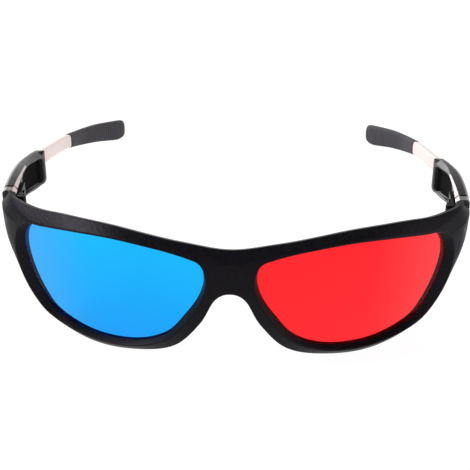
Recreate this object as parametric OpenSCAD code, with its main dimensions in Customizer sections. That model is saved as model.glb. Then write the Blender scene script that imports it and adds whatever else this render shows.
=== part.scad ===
// Two-colour viewing glasses: a wrapped front that holds a blue and a red lens,
// and two folding temples on riveted leaf hinges, each with a shoulder, a bar and a rubber tip.
// X points to the wearer's left, Y to the back of the head and Z up.
// The glasses stand open on a table, on the lower rims and the temple tips.

/* [Front] */
// Width of the front over its end pieces
front_w = 146; // [139:0.2:150]
// Radius of the wrap of the front, seen from above
wrap_r = 98; // [92:1:110]
// Radius of the corner that turns each end piece back to its temple
corner_r = 11; // [10:0.5:13]
// Radius of the upright bow of the front, seen from the side
bow_r = 150; // [120:5:300]
// Depth of the rim from front to back
rim_depth = 4.8; // [4.8:0.1:6]
// Width of the rim over the lens
rim_w = 2.5; // [2:0.1:3.2]
// Width of the rim beside the lens, on its outer side
side_w = 7.1; // [6.5:0.1:9]
// Width of the rim beside the nose
nose_w = 5; // [4:0.1:6]
// Width of the slope from the rim down to the lens, where it is widest
slope_w = 3.4; // [2:0.1:4]
// Depth of the outer edge of the lower rim
edge_d = 1.1; // [0.6:0.1:1.5]
// Height of the brow over the nose
brow_z = 41.3; // [40.5:0.1:43]
// Height of the crease under the sloped brow, over the nose
crease_z = 38.6; // [37.6:0.1:39.4]
// Depth of the sloped brow from its crease back to its top edge
brow_slope = 2.6; // [2:0.1:3.2]
// Height of the top of the nose notch
notch_z = 27.4; // [25:0.1:30]
// Depth of the moulded nose rests behind the front
nose_depth = 8.5; // [6:0.1:10]
// Thickness of the end piece at the temple
end_t = 4.4; // [4:0.1:5]
// Height of the top of the end piece
end_top = 39.8; // [39.2:0.1:41]
// Height of the brow crease at the end piece
end_crease = 36.1; // [35:0.1:37.4]
// Height of the bottom of the end piece
end_bottom = 31.9; // [31:0.1:33]

/* [Lenses] */
// Width of a lens along the wrap
lens_w = 64.2; // [60:0.2:66]
// Height of a lens
lens_h = 38.2; // [36:0.2:40]
// Gap between the lenses over the nose
lens_apart = 16; // [14.6:0.2:18]
// Height of the lowest point of the lens opening
lens_low = 3.3; // [2.6:0.1:4.5]
// Thickness of a lens
lens_t = 1.5; // [1.4:0.1:2]
// Depth of the lens behind the front of the rim
lens_recess = 1.8; // [1.4:0.1:2]
// How far the edge of a lens goes into its groove
lens_hold = 0.9; // [0.6:0.1:1.2]
// Clearance of a lens in its groove
lens_play = 0.1; // [0.05:0.01:0.15]
// How far the lip behind the lens stands up from the bottom of the groove
back_lip = 0.6; // [0.6:0.1:1.4]
// Thickness of the lip behind the lens
lip_t = 0.5; // [0.4:0.1:1]

/* [Hinges] */
// Height of the middle of each hinge
hinge_z = 34.6; // [34.2:0.1:35.2]
// Outer radius of a hinge knuckle
knuckle_r = 1.5; // [1.3:0.05:1.7]
// Height of one knuckle
knuckle_h = 1.7; // [1.4:0.05:1.9]
// Gap between two knuckles
knuckle_gap = 0.12; // [0.08:0.01:0.2]
// Clearance of the end leaf round the temple's knuckle
knuckle_play = 0.15; // [0.1:0.01:0.25]
// Radius of the hinge screw's shank
pin_r = 0.7; // [0.6:0.02:0.8]
// Clearance round the shank of a screw or rivet
pin_play = 0.05; // [0.02:0.01:0.08]
// Radius of the hinge screw's head
screw_head_r = 1.25; // [1.1:0.05:1.4]
// Height of the hinge screw's head
screw_head_h = 0.7; // [0.5:0.05:0.9]
// Width of the slot in the hinge screw's head
screw_slot_w = 0.3; // [0.2:0.05:0.4]
// Thickness of a hinge leaf
leaf_t = 0.8; // [0.6:0.05:0.9]
// Clearance between a leaf and the plastic behind it
leaf_play = 0.1; // [0.05:0.01:0.15]
// Length of the temple's leaf behind the hinge axis
leaf_len = 10; // [9:0.5:11]
// Height of the temple's leaf
leaf_h = 4.4; // [3.6:0.1:5]
// Radius of a rivet's shank
rivet_r = 0.6; // [0.5:0.05:0.65]
// Radius of a rivet's head
rivet_head_r = 1.1; // [0.95:0.05:1.2]
// Height of a rivet's head
rivet_head_h = 0.5; // [0.3:0.05:0.6]
// Height of the rivet through the end piece
rivet_z = 32.4; // [31.8:0.1:33]
// Depth of the temple's rivet in the plastic
rivet_depth = 2.6; // [2:0.1:3]
// Gap between the end piece and the temple
butt_gap = 0.25; // [0.15:0.01:0.35]

/* [Temples] */
// Length of a temple from its front face to the end of its tip
temple_len = 110.6; // [104:0.2:116]
// How far the end of a temple stands in from its front
temple_sweep = 21.3; // [16:0.5:22]
// Height of the top of the temple at the hinge
temple_top = 39.2; // [38.6:0.1:39.8]
// How far the top of the temple falls from the hinge to its end
temple_drop = 31.8; // [27:0.2:33]
// Length of the moulded shoulder behind the hinge
shoulder_len = 31.6; // [28:0.2:36]
// Height of the shoulder at the hinge
shoulder_front_h = 7.4; // [7:0.1:8]
// Height of the shoulder at its back
shoulder_back_h = 12.4; // [9:0.1:14]
// Thickness of the shoulder at its back
shoulder_back_t = 3.7; // [3.4:0.1:4.2]
// Radius of the lower back corner of the shoulder
shoulder_corner = 2.4; // [1.5:0.1:2.8]
// Depth of the hollow on the inner face of the shoulder
hollow_d = 0.9; // [0.5:0.1:1.2]
// Depth of the groove round the shoulder behind the hinge
groove_d = 0.3; // [0.15:0.05:0.4]
// Height of the bar between the shoulder and the tip
bar_h = 5.2; // [4.6:0.1:6]
// Thickness of the bar
bar_t = 2.4; // [2.2:0.1:3]
// How far the bar lies under the top line of the temple
bar_dip = 0.4; // [0.2:0.1:0.6]
// Length of the bar's tang in the shoulder
socket_len = 3; // [2.6:0.1:4]

/* [Tips] */
// Length of a rubber tip
tip_len = 46.6; // [40:0.2:50]
// How far a rubber tip stands proud of its temple
tip_proud = 0.2; // [0.2:0.05:0.6]
// Thickness of a tip at its end
tip_t = 3.8; // [3.3:0.1:4.4]
// Height of a tip at its end
tip_back_h = 8.9; // [7:0.1:10]
// Height of the lower corner at the end of a tip
tip_corner = 2.5; // [2:0.1:3.4]
// Length of the lower corner at the end of a tip
tip_corner_len = 7; // [4:0.5:12]
// Radius that rounds the end of a tip
tip_round = 0.9; // [0.8:0.1:1.5]
// Thickness of the bar's tangs
tang_t = 1.6; // [1.2:0.1:2]
// Height of the bar's tangs
tang_h = 3; // [2:0.1:3.6]
// Length of the bar's tang in the tip
tang_len = 28; // [20:0.5:34]
// Clearance of a tang in its socket
tip_play = 0.08; // [0.04:0.01:0.12]

/* [Hidden] */
$fn = 48;

// Plan of the front: the wrap, then the corner arc, then a short straight end.
end_run = 0.2;
half_w = front_w / 2;
corner_x = half_w - corner_r;
wrap_a = asin(corner_x / (wrap_r - corner_r));
corner_y = wrap_r - (wrap_r - corner_r) * cos(wrap_a);
wrap_u = wrap_r * wrap_a * PI / 180;
corner_u = wrap_u + corner_r * (90 - wrap_a) * PI / 180;
end_u = corner_u + end_run;
end_y = corner_y + end_run;
// Outer side of the lens, and what is left from there to the end face
lens_side_u = lens_apart / 2 + lens_w;
end_w = end_u - lens_side_u;

// Direction of the plan, in degrees from straight across, at the length u along it
function heading(u) =
    u <= wrap_u ? u / wrap_r * 180 / PI
                : min(90, wrap_a + (u - wrap_u) / corner_r * 180 / PI);
function plan_x(u) = u <= wrap_u ? wrap_r * sin(heading(u)) : corner_x + corner_r * sin(heading(u));
function plan_y(u) =
    u <= wrap_u ? wrap_r * (1 - cos(heading(u)))
                : corner_y - corner_r * cos(heading(u)) + max(0, u - corner_u);

// The upright bow fades out from the outer third of the lens to the end piece.
bow_z = lens_low + lens_h / 2;
bow_full_u = lens_apart / 2 + lens_w * 0.82;
function bow(u, z) =
    pow(z - bow_z, 2) / (2 * bow_r) * min(1, (end_u - u) / (end_u - bow_full_u));

// A point of the front at length u along the plan, height z and depth d behind the front
function place(u, z, d) =
    let (a = heading(u), b = d + bow(u, z))
    [plan_x(u) - sin(a) * b, plan_y(u) + cos(a) * b, z];

// Smooth curve through p1 and p2, with p0 and p3 as their neighbours
function spline(p0, p1, p2, p3, t) =
    (2 * p1 + (p2 - p0) * t + (2 * p0 - 5 * p1 + 4 * p2 - p3) * t * t
        + (3 * p1 - p0 - 3 * p2 + p3) * t * t * t) / 2;

// Lens opening, in percent of its width from the nose side and of its height.
// It runs from the nose over the top to the outer side and back along the bottom.
lens_shape = [
    [0, 72.5], [2.2, 86.6], [7.3, 94], [22, 98.7], [44, 100], [66, 95.8], [84.4, 88.8],
    [94.3, 83.5], [98.3, 76], [100, 67.3], [100, 56.8], [96.8, 40.6], [90, 21.7], [81, 7.6],
    [60, 0], [36.3, 4], [19, 17.5], [8.4, 39.8], [2.4, 56.8]
];
rows = len(lens_shape);
function lens_row(k) =
    let (p = lens_shape[(k + rows) % rows])
    [lens_apart / 2 + lens_w * p[0] / 100, lens_low + lens_h * p[1] / 100];
function lens_at(s) =
    let (k = floor(s))
    spline(lens_row(k - 1), lens_row(k), lens_row(k + 1), lens_row(k + 2), s - k);
function lens_normal(s) =
    let (d = lens_at(s + 0.05) - lens_at(s - 0.05))
    [-d[1], d[0]] / norm(d);

// Outer edge of the front beside each point of the lens opening.
// The rows 0 to 2 lie on the middle plane and the rows 7 to 9 on the end face.
brow_row = 2;
end_row = 7;
side_row = 9;
outer_rows = [
    [0, notch_z], [0, crease_z], [0, brow_z],
    lens_row(3) + rim_w * [-2.8, 0.4], lens_row(4) + rim_w * [0, 1], lens_row(5) + rim_w * [1.4, 1.18],
    lens_row(6) + rim_w * [3.1, 1.28], [end_u, end_top], [end_u, end_crease], [end_u, end_bottom],
    lens_row(10) + [end_w * 0.7, side_w * 0.33], lens_row(11) + side_w * [1, 0.23],
    lens_row(12) + side_w * [0.9, 0], lens_row(13) + side_w * [0.53, -0.32],
    lens_row(14) + lens_low * [0, -1], lens_row(15) + lens_low * [-0.6, -0.88],
    lens_row(16) + lens_low * [-0.9, -1.1], lens_row(17) + nose_w * [-0.86, -0.5],
    lens_row(18) + nose_w * [-1, 0]
];
function mirrored(p) = [-p[0], p[1]];
function outer_row(k) = outer_rows[k % rows];
function outer_before(k) =
    k == brow_row ? mirrored(outer_row(k + 1))
    : k == side_row ? 2 * outer_row(k) - outer_row(k + 1)
    : outer_row(k - 1);
function outer_after(k) =
    k == end_row - 1 ? 2 * outer_row(k + 1) - outer_row(k)
    : k == rows - 1 ? mirrored(outer_row(k))
    : outer_row(k + 2);
function straight(k) = k < brow_row || (k >= end_row && k < side_row);
function outer_at(s) =
    let (k = floor(s), a = outer_row(k), b = outer_row(k + 1))
    straight(k) ? a + (b - a) * (s - k) : spline(outer_before(k), a, b, outer_after(k), s - k);

// Form of the rim at each row: width of the slope down to the lens, depth of the
// outer edge, step of the back edge along u and z, and depth of the back edge.
back_in = 1;
nose_more = nose_depth - rim_depth;
rim_form = [
    [slope_w * 0.24, edge_d * 0.4, 0, back_in * 0.8, rim_depth + nose_more * 0.3],
    [slope_w * 0.15, 0, 0, 0, rim_depth + nose_more * 0.2],
    [slope_w * 0.1, brow_slope, 0, -back_in, rim_depth],
    [slope_w * 0.1, brow_slope, 0, -back_in, rim_depth],
    [slope_w * 0.1, brow_slope, 0, -back_in, rim_depth],
    [slope_w * 0.1, brow_slope, 0, -back_in, rim_depth],
    [slope_w * 0.15, brow_slope, 0, -back_in, rim_depth],
    [slope_w * 0.35, brow_slope, 0, -back_in * 0.8, end_t],
    [slope_w * 0.6, 0, 0, 0, end_t],
    [slope_w * 0.75, edge_d * 0.2, 0, back_in * 0.6, end_t],
    [slope_w * 0.95, edge_d * 0.4, -back_in * 0.6, back_in * 0.3, rim_depth],
    [slope_w, edge_d * 0.7, -back_in * 0.6, back_in * 0.2, rim_depth],
    [slope_w * 0.8, edge_d * 0.9, -back_in * 0.5, back_in * 0.3, rim_depth],
    [slope_w * 0.45, edge_d, -back_in * 0.2, back_in * 0.1, rim_depth],
    [slope_w * 0.25, edge_d, 0, back_in * 0.1, rim_depth],
    [slope_w * 0.25, edge_d, back_in * 0.1, back_in * 0.1, rim_depth],
    [slope_w * 0.25, edge_d * 0.9, back_in * 0.6, back_in * 0.6, rim_depth + nose_more * 0.5],
    [slope_w * 0.3, edge_d * 0.7, back_in * 1.8, back_in * 0.8, nose_depth],
    [slope_w * 0.25, edge_d * 0.5, back_in * 1.8, back_in * 0.4, nose_depth]
];
function form_at(s) =
    let (k = floor(s), a = rim_form[k % rows], b = rim_form[(k + 1) % rows])
    a + (b - a) * (s - k);

// Closed outline of the rim at the place s round the lens, starting at its front lip
ridge_w = 0.5;
span_steps = 5;
groove_back = lens_recess + lens_t + 2 * lens_play;
lip_back = groove_back + lip_t;
function along(p, q, n) = [for (i = [0:n]) p + (q - p) * i / n];
function at_depth(p, d) = [p[0], p[1], d];
function rim_outline(s) =
    let (
        lip = lens_at(s),
        n = lens_normal(s),
        out = outer_at(s),
        f = form_at(s),
        ridge = lip + n * f[0],
        crease = ridge + n * ridge_w,
        back = out + [f[2], f[3]],
        seat = lip + n * lens_hold,
        inner = seat - n * back_lip
    )
    concat(
        [at_depth(lip, lens_recess), at_depth(ridge, 0)],
        along(at_depth(crease, 0), at_depth(out, f[1]), span_steps),
        along(at_depth(back, f[4]), at_depth(inner, lip_back), span_steps),
        [at_depth(inner, groove_back), at_depth(seat, groove_back), at_depth(seat, lens_recess)]
    );

// The rim outlines of one half joined into a skin that is open at the middle plane
row_steps = 4;
stations = rows * row_steps;
half_points = [
    for (i = [0:stations - 1])
        for (p = rim_outline(i / row_steps)) place(p[0], p[1], p[2])
];
ring_n = len(half_points) / stations;
outer_edge = 2 + span_steps;
function on_middle(i) = i % stations < brow_row * row_steps;
function skin_index(i, j) = (i % stations) * ring_n + j % ring_n;
half_faces = [
    for (i = [0:stations - 1])
        for (j = [0:ring_n - 1])
            if (!(on_middle(i) && j == outer_edge))
                let (
                    a = skin_index(i, j),
                    b = skin_index(i + 1, j),
                    c = skin_index(i + 1, j + 1),
                    d = skin_index(i, j + 1)
                )
                each [[a, c, b], [a, d, c]]
];
function across(a) = half_points[a][0] == 0 ? a : a + stations * ring_n;
frame_points = concat(half_points, [for (p = half_points) [-p[0], p[1], p[2]]]);
frame_faces = concat(half_faces, [for (f = half_faces) [across(f[2]), across(f[1]), across(f[0])]]);

// A lens as rings from its edge to its middle, on its front and its back
lens_front = lens_recess + lens_play;
lens_mid = [lens_apart / 2 + lens_w * 0.52, lens_low + lens_h * 0.52];
lens_rings = [1, 0.75, 0.5, 0.25];
function lens_edge(i) =
    let (s = i / row_steps)
    lens_at(s) + lens_normal(s) * (lens_hold - lens_play);
function lens_side(d, scales) = [
    for (f = scales)
        for (i = [0:stations - 1])
            let (p = lens_mid + (lens_edge(i) - lens_mid) * f)
            place(p[0], p[1], d)
];
lens_points = concat(
    [place(lens_mid[0], lens_mid[1], lens_front)],
    lens_side(lens_front, [for (i = [3:-1:0]) lens_rings[i]]),
    lens_side(lens_front + lens_t, lens_rings),
    [place(lens_mid[0], lens_mid[1], lens_front + lens_t)]
);

// Faces of a body given as a first point, rings of n points each, and a last point
function ring_index(r, i, n) = 1 + r * n + i % n;
function spindle_faces(n, rings) = concat(
    [for (i = [0:n - 1]) [0, ring_index(0, i, n), ring_index(0, i + 1, n)]],
    [
        for (r = [0:rings - 2])
            for (i = [0:n - 1])
                let (
                    a = ring_index(r, i, n),
                    b = ring_index(r, i + 1, n),
                    c = ring_index(r + 1, i + 1, n),
                    d = ring_index(r + 1, i, n)
                )
                each [[a, d, c], [a, c, b]]
    ],
    [for (i = [0:n - 1]) [1 + rings * n, ring_index(rings - 1, i + 1, n), ring_index(rings - 1, i, n)]]
);

// Path of a temple, as shares of its length, of its sweep inwards and of its fall
temple_path = [
    [0, 0, 0], [0.09, 0.005, 0], [0.17, 0.042, 0.013], [0.24, 0.136, 0.045], [0.285, 0.197, 0.083],
    [0.35, 0.254, 0.147], [0.475, 0.31, 0.301], [0.575, 0.385, 0.423], [0.81, 0.648, 0.7285],
    [0.94, 0.887, 0.9105], [1, 1, 1]
];
last_row = len(temple_path) - 1;
temple_y = end_y + butt_gap;
function path_slope(k) =
    let (a = temple_path[max(k - 1, 0)], b = temple_path[min(k + 1, last_row)])
    (b - a) / (b[0] - a[0]);
function path_row(q) = max([for (k = [0:last_row - 1]) temple_path[k][0] <= q ? k : 0]);
// Shares of the sweep and the fall at the distance w behind the temple's front face
function path_at(w) =
    let (
        q = w / temple_len,
        k = path_row(q),
        a = temple_path[k],
        b = temple_path[k + 1],
        g = b[0] - a[0],
        t = (q - a[0]) / g
    )
    a * (1 + 2 * t) * pow(1 - t, 2) + path_slope(k) * g * t * pow(1 - t, 2)
        + b * t * t * (3 - 2 * t) - path_slope(k + 1) * g * t * t * (1 - t);

// Set-back of a corner of radius r at the distance w, where the piece ends at the distance end
function round_in(w, end, r) =
    w <= end - r ? 0 : r - sqrt(max(0, r * r - pow(w - end + r, 2)));
function ease(t) = t <= 0 ? 0 : t >= 1 ? 1 : t * t * (3 - 2 * t);

// Distances where the bar starts and the tip starts
seat_gap = 0.1;
tip_w = temple_len - tip_len;
tip_front_h = bar_h + 2 * tip_proud;
tip_front_t = bar_t + 2 * tip_proud;
function tip_height(w) =
    tip_front_h + (tip_back_h - tip_front_h) * (w - tip_w) / tip_len
        - round_in(w, temple_len, tip_corner_len) * tip_corner / tip_corner_len;
function tip_thick(w) = tip_front_t + (tip_t - tip_front_t) * (w - tip_w) / tip_len;
tip_flat_end = temple_len - max(tip_corner_len, tip_round);
tip_places = concat(
    [for (i = [0:10]) tip_w + (tip_flat_end - tip_w) * i / 10],
    [for (a = [20, 40, 55, 70, 80, 90]) temple_len - (temple_len - tip_flat_end) * (1 - sin(a))]
);

// Rounded section, t thick and h high, whose inner face may be hollow
section_n = 20;
section_round = 0.55;
hollow_half_angle = 40;
function rounded(v) = sign(v) * pow(abs(v), section_round);
function section(y, x, z, t, h, hollow) = [
    for (i = [0:section_n - 1])
        let (
            a = 360 * i / section_n,
            dip = abs(a - 180) < hollow_half_angle ? hollow : 0
        )
        [x + rounded(cos(a)) * t / 2 + dip, y, z + rounded(sin(a)) * h / 2]
];
// Section that hangs under the temple's top line by the dip
function hung(w, dip, t, h, hollow) =
    let (p = path_at(w))
    section(
        temple_y + w, half_w - end_t / 2 - temple_sweep * p[1],
        temple_top - temple_drop * p[2] - dip - h / 2, t, h, hollow
    );
function middle(ring) = [for (k = [0:2]) (ring[0][k] + ring[section_n / 2][k]) / 2];
function reversed(v) = [for (i = [len(v) - 1:-1:0]) v[i]];

// Shoulder, from its front face to its back end
hollow_from = leaf_len + 1;
hollow_ramp = 1.2;
hollow_wall = 0.8;
hollow_to = shoulder_len - socket_len - hollow_wall;
groove_at = 3;
groove_w = 0.4;
groove_end = groove_at + groove_w;
shoulder_round = 0.5;
shoulder_rise = 0.8;
function shoulder_ring(w, inset, hollow) =
    let (
        rise = ease(w / (shoulder_rise * shoulder_len)),
        in = inset + round_in(w, shoulder_len, shoulder_round),
        h = shoulder_front_h + (shoulder_back_h - shoulder_front_h) * rise
            - round_in(w, shoulder_len, shoulder_corner),
        t = end_t + (shoulder_back_t - end_t) * w / shoulder_len
    )
    hung(w, in, t - 2 * in, h - 2 * in, hollow);
shoulder_rings = concat(
    [shoulder_ring(0, 0, 0)],
    [shoulder_ring(groove_at - groove_w, 0, 0), shoulder_ring(groove_at - groove_w / 2, groove_d, 0)],
    [shoulder_ring(groove_at + groove_w / 2, groove_d, 0), shoulder_ring(groove_end, 0, 0)],
    [for (i = [1:3]) shoulder_ring(groove_end + (hollow_from - groove_end) * i / 3, 0, 0)],
    [
        for (i = [0:6])
            shoulder_ring(
                hollow_from + hollow_ramp + (hollow_to - hollow_from - 2 * hollow_ramp) * i / 6, 0, hollow_d
            )
    ],
    [shoulder_ring(hollow_to, 0, 0)],
    [
        for (a = [0, 20, 40, 55, 70, 80, 90])
            shoulder_ring(shoulder_len - shoulder_corner * (1 - sin(a)), 0, 0)
    ]
);

// The bar's tangs, and the sockets for them in the shoulder and the tip
function tang_ring(w, grow) =
    hung(w, bar_dip + (bar_h - tang_h) / 2 - grow, tang_t + 2 * grow, tang_h + 2 * grow, 0);
function bar_ring(w) = hung(w, bar_dip, bar_t, bar_h, 0);
socket_w = shoulder_len - socket_len;
function tang_rings(from, to, n, grow) = [for (i = [0:n]) tang_ring(from + (to - from) * i / n, grow)];
shoulder_skin = concat(
    tang_rings(socket_w - seat_gap, shoulder_len, 2, tip_play), reversed(shoulder_rings)
);
bar_from = shoulder_len + seat_gap;
bar_to = tip_w - seat_gap;
bar_skin = concat(
    tang_rings(socket_w, bar_from, 2, 0),
    [for (i = [0:16]) bar_ring(bar_from + (bar_to - bar_from) * i / 16)],
    tang_rings(bar_to, tip_w + tang_len, 8, 0)
);
// The tip is a cup: its skin runs from the end of its socket to its mouth and on to its end.
function tip_ring(w) =
    let (in = round_in(w, temple_len, tip_round))
    hung(w, bar_dip - tip_proud + in, tip_thick(w) - 2 * in, tip_height(w) - 2 * in, 0);
tip_skin = concat(
    tang_rings(tip_w + tang_len + seat_gap, tip_w, 8, tip_play),
    [for (w = tip_places) tip_ring(w)]
);
function skin_points(skin) =
    concat([middle(skin[0])], [for (r = skin) each r], [middle(skin[len(skin) - 1])]);
function turned(faces) = [for (f = faces) [f[2], f[1], f[0]]];

// The origin lies under the middle of the open glasses, on the table.
front_y = min([for (p = frame_points) p[1]]);
mid_y = (front_y + temple_y + temple_len) / 2;
low_z = min(min([for (p = frame_points) p[2]]), min([for (r = tip_skin) for (p = r) p[2]]));

// Hinge axis and the heights of its three knuckles
hinge_x = half_w - end_t - leaf_play - knuckle_r;
hinge_y = end_y + butt_gap / 2;
hinge_low = hinge_z - 1.5 * knuckle_h - knuckle_gap;
hinge_high = hinge_z + 1.5 * knuckle_h + knuckle_gap;
bore_r = pin_r + pin_play;
sweep_r = knuckle_r + knuckle_play;
seat_r = corner_r - end_t;
leaf_edge = 0.3;
leaf_low = min(rivet_z - rivet_head_r - leaf_edge, hinge_low);
rivet_bore_r = rivet_r + pin_play;
rivet_sink = 0.5;
rivet_flush = 0.15;
// The end rivet stands between the lens and the knuckles, nearer to the knuckles.
rivet_room = 0.2;
leaf_r = seat_r - leaf_play - leaf_t;
knuckle_front = knuckle_r - end_run - butt_gap / 2;
near_lens = heading(lens_side_u + lens_hold + rivet_head_r + rivet_room);
near_hinge = 90 - asin((knuckle_front + rivet_head_r + rivet_room) / leaf_r);
rivet_a = near_lens + (near_hinge - near_lens) * 0.75 - 90;
leaf_end_a = rivet_a - asin((rivet_head_r + leaf_edge) / leaf_r);
// The leaf starts well inside the knuckles, where the two cross at a clear angle.
leaf_start_a = -3;
leaf_x = half_w - end_t - leaf_play - leaf_t;
temple_rivet_y = hinge_y + leaf_len * 0.65;
eps = 0.01;

plastic = [0.09, 0.09, 0.1];
rubber = [0.27, 0.27, 0.29];
pearl = [0.88, 0.86, 0.86];
steel = [0.2, 0.2, 0.21];
blue = [0.1, 0.62, 0.98, 0.75];
red = [0.98, 0.17, 0.2, 0.75];

// Moves a piece from the drawing's place to its place over the origin
module seated() {
    translate([0, -mid_y, -low_z]) children();
}

module on_left() {
    seated() children();
}

module on_right() {
    seated() mirror([1, 0, 0]) children();
}

// Cylinder along the line of the end piece's rivet, from one radius of the corner to another
module along_rivet(from_r, to_r, r) {
    translate([corner_x, corner_y, rivet_z])
        rotate([0, 0, rivet_a])
            rotate([0, 90, 0])
                translate([0, 0, from_r]) cylinder(h = to_r - from_r, r = r);
}

// Seat of the end leaf and the hole of its rivet, cut out of the end piece
module end_piece_cuts() {
    translate([corner_x, corner_y, leaf_low - leaf_play])
        cylinder(h = hinge_high - leaf_low + 2 * leaf_play, r = seat_r);
    along_rivet(seat_r - 1, corner_r + 1, rivet_bore_r);
    along_rivet(corner_r - rivet_sink, corner_r + 1, rivet_head_r + pin_play);
}

module front_frame() {
    color(plastic)
        seated()
            difference() {
                polyhedron(points = frame_points, faces = frame_faces);
                end_piece_cuts();
                mirror([1, 0, 0]) end_piece_cuts();
            }
}

module lens() {
    polyhedron(points = lens_points, faces = spindle_faces(stations, 2 * len(lens_rings)));
}

module lens_blue() {
    color(blue) on_right() lens();
}

module lens_red() {
    color(red) on_left() lens();
}

// One knuckle of the hinge, from the height z0 up
module knuckle(z0) {
    translate([hinge_x, hinge_y, z0]) cylinder(h = knuckle_h, r = knuckle_r);
}

module hinge_bore() {
    translate([hinge_x, hinge_y, hinge_low - 1])
        cylinder(h = hinge_high - hinge_low + 2, r = bore_r);
}

// Curved leaf on the inside of the end piece, with the upper and lower knuckles
module end_leaf() {
    difference() {
        union() {
            translate([corner_x, corner_y, leaf_low])
                rotate([0, 0, leaf_end_a])
                    rotate_extrude(angle = leaf_start_a - leaf_end_a)
                        translate([leaf_r, 0])
                            square([leaf_t, hinge_high - leaf_edge - leaf_low]);
            knuckle(hinge_low);
            knuckle(hinge_high - knuckle_h);
        }
        translate([hinge_x, hinge_y, hinge_low + knuckle_h])
            cylinder(h = knuckle_h + 2 * knuckle_gap, r = sweep_r);
        hinge_bore();
        along_rivet(seat_r - leaf_t - 1, seat_r + 1, rivet_bore_r);
    }
}

// Flat leaf on the inside of the temple, with the middle knuckle
module temple_leaf() {
    difference() {
        union() {
            knuckle(hinge_z - knuckle_h / 2);
            translate([leaf_x, hinge_y, hinge_z - knuckle_h / 2])
                cube([leaf_t, leaf_len, knuckle_h]);
            translate([leaf_x, hinge_y + sweep_r, hinge_z - leaf_h / 2])
                cube([leaf_t, leaf_len - sweep_r, leaf_h]);
        }
        hinge_bore();
        translate([leaf_x - 1, temple_rivet_y, hinge_z])
            rotate([0, 90, 0]) cylinder(h = leaf_t + 2, r = rivet_bore_r);
    }
}

// Slotted screw through the three knuckles, with its head on the upper one
module hinge_screw() {
    head_z = hinge_high + pin_play;
    difference() {
        translate([hinge_x, hinge_y, hinge_low])
            union() {
                cylinder(h = head_z - hinge_low + eps, r = pin_r);
                translate([0, 0, head_z - hinge_low]) cylinder(h = screw_head_h, r = screw_head_r);
            }
        translate([hinge_x - screw_head_r - 1, hinge_y - screw_slot_w / 2, head_z + screw_head_h / 2])
            cube([2 * screw_head_r + 2, screw_slot_w, screw_head_h]);
    }
}

// Rivet that holds the end leaf: a head inside and a sunk head on the outer face
module end_rivet() {
    head_r = sqrt(leaf_r * leaf_r - rivet_head_r * rivet_head_r) - pin_play;
    along_rivet(head_r - rivet_head_h, head_r, rivet_head_r);
    along_rivet(head_r - eps, corner_r - rivet_flush, rivet_r);
    along_rivet(corner_r - rivet_sink + pin_play, corner_r - rivet_flush, rivet_head_r);
}

// Rivet that holds the temple leaf, blind in the temple
module temple_rivet() {
    translate([leaf_x - pin_play, temple_rivet_y, hinge_z])
        rotate([0, 90, 0]) {
            translate([0, 0, -rivet_head_h]) cylinder(h = rivet_head_h, r = rivet_head_r);
            translate([0, 0, -eps]) cylinder(h = leaf_t + leaf_play + rivet_depth, r = rivet_r);
        }
}

// Moulded shoulder with the blind hole of its rivet
module temple_shoulder() {
    difference() {
        polyhedron(
            points = skin_points(shoulder_skin),
            faces = spindle_faces(section_n, len(shoulder_skin))
        );
        translate([leaf_x, temple_rivet_y, hinge_z])
            rotate([0, 90, 0])
                cylinder(h = leaf_t + leaf_play + rivet_depth + pin_play, r = rivet_bore_r);
    }
}

// Slim bar with a tang at each end
module temple_bar() {
    polyhedron(points = skin_points(bar_skin), faces = turned(spindle_faces(section_n, len(bar_skin))));
}

module temple_tip() {
    polyhedron(points = skin_points(tip_skin), faces = turned(spindle_faces(section_n, len(tip_skin))));
}

module end_leaf_left() {
    color(steel) on_left() end_leaf();
}

module end_leaf_right() {
    color(steel) on_right() end_leaf();
}

module temple_leaf_left() {
    color(steel) on_left() temple_leaf();
}

module temple_leaf_right() {
    color(steel) on_right() temple_leaf();
}

module hinge_screw_left() {
    color(steel) on_left() hinge_screw();
}

module hinge_screw_right() {
    color(steel) on_right() hinge_screw();
}

module end_rivet_left() {
    color(steel) on_left() end_rivet();
}

module end_rivet_right() {
    color(steel) on_right() end_rivet();
}

module temple_rivet_left() {
    color(steel) on_left() temple_rivet();
}

module temple_rivet_right() {
    color(steel) on_right() temple_rivet();
}

module temple_shoulder_left() {
    color(plastic) on_left() temple_shoulder();
}

module temple_shoulder_right() {
    color(plastic) on_right() temple_shoulder();
}

module temple_bar_left() {
    color(pearl) on_left() temple_bar();
}

module temple_bar_right() {
    color(pearl) on_right() temple_bar();
}

module temple_tip_left() {
    color(rubber) on_left() temple_tip();
}

module temple_tip_right() {
    color(rubber) on_right() temple_tip();
}

front_frame();
lens_blue();
lens_red();
end_leaf_left();
end_leaf_right();
temple_leaf_left();
temple_leaf_right();
hinge_screw_left();
hinge_screw_right();
end_rivet_left();
end_rivet_right();
temple_rivet_left();
temple_rivet_right();
temple_shoulder_left();
temple_shoulder_right();
temple_bar_left();
temple_bar_right();
temple_tip_left();
temple_tip_right();
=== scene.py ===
import math
import bpy
from mathutils import Matrix, Vector


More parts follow.
